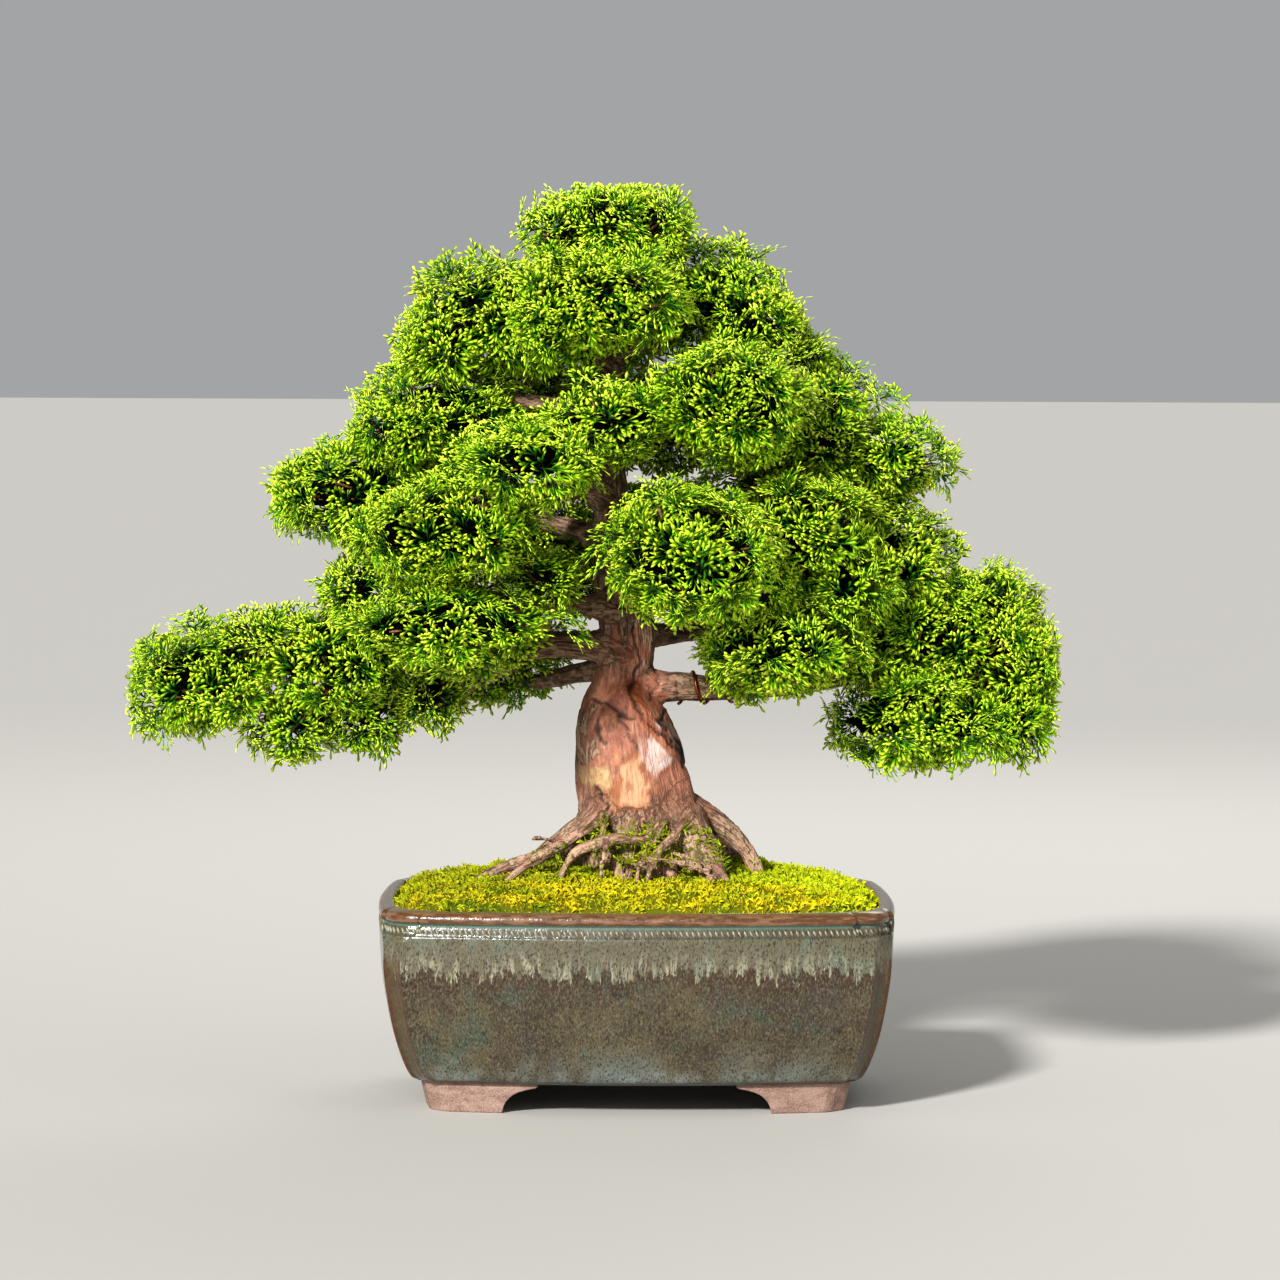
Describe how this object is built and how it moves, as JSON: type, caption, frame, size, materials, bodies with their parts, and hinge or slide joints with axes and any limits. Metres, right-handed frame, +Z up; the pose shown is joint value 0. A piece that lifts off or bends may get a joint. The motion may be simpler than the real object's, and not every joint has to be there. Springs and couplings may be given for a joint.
{
  "type": "hinoki cypress bonsai in a glazed pot",
  "caption": "Upright cypress bonsai with a flared trunk, open tiers of fan-leaved foliage cushions and wired branches, in a bowed rectangular glazed pot with moss over the soil.",
  "frame": {"origin": "on the surface that the feet stand on, under the middle of the whole tree seen from above", "axes": "+X to the right along the pot's long side, +Y from the front to the back, +Z up"},
  "size_m": [0.7101, 0.4636, 0.6945],
  "materials": {
    "glazed_stoneware": "mottled olive, brown and turquoise glaze over stoneware, with unglazed red-brown clay feet",
    "bark": "red-brown peeling bark",
    "scale_leaves": "flat sprays of scale leaves, mid green with lime tips",
    "moss": "bright yellow-green moss",
    "soil": "dark gritty soil",
    "training_wire": "copper-brown anodised wire",
    "drain_mesh": "black plastic mesh"
  },
  "bodies": {
    "root": {"pot": "glazed_stoneware", "soil": "soil", "moss": "moss", "drain_screen_left": "drain_mesh", "drain_screen_right": "drain_mesh", "tree": "bark", "wire_left_mid_inner": "training_wire", "wire_left_low_outer": "training_wire", "wire_far_right_upper": "training_wire", "wire_right_tip": "training_wire", "foliage_apex": "scale_leaves", "foliage_crown_front": "scale_leaves", "foliage_crown_right": "scale_leaves", "foliage_crown_left": "scale_leaves", "foliage_crown_back": "scale_leaves", "foliage_upper_right": "scale_leaves", "foliage_upper_right_front": "scale_leaves", "foliage_upper_left": "scale_leaves", "foliage_centre_front": "scale_leaves", "foliage_left_centre_front": "scale_leaves", "foliage_upper_back": "scale_leaves", "foliage_left_mid_outer": "scale_leaves", "foliage_left_mid_inner": "scale_leaves", "foliage_left_mid_back": "scale_leaves", "foliage_right_tip": "scale_leaves", "foliage_right_front": "scale_leaves", "foliage_right_mid": "scale_leaves", "foliage_right_outer": "scale_leaves", "foliage_mid_back": "scale_leaves", "foliage_right_mid_back": "scale_leaves", "foliage_left_low_front": "scale_leaves", "foliage_left_low_inner": "scale_leaves", "foliage_left_low_mid": "scale_leaves", "foliage_left_low_outer": "scale_leaves", "foliage_left_low_back": "scale_leaves", "foliage_right_low_front": "scale_leaves", "foliage_far_right_upper": "scale_leaves", "foliage_far_right_low": "scale_leaves", "foliage_right_low_back": "scale_leaves"}
  },
  "joints": []
}
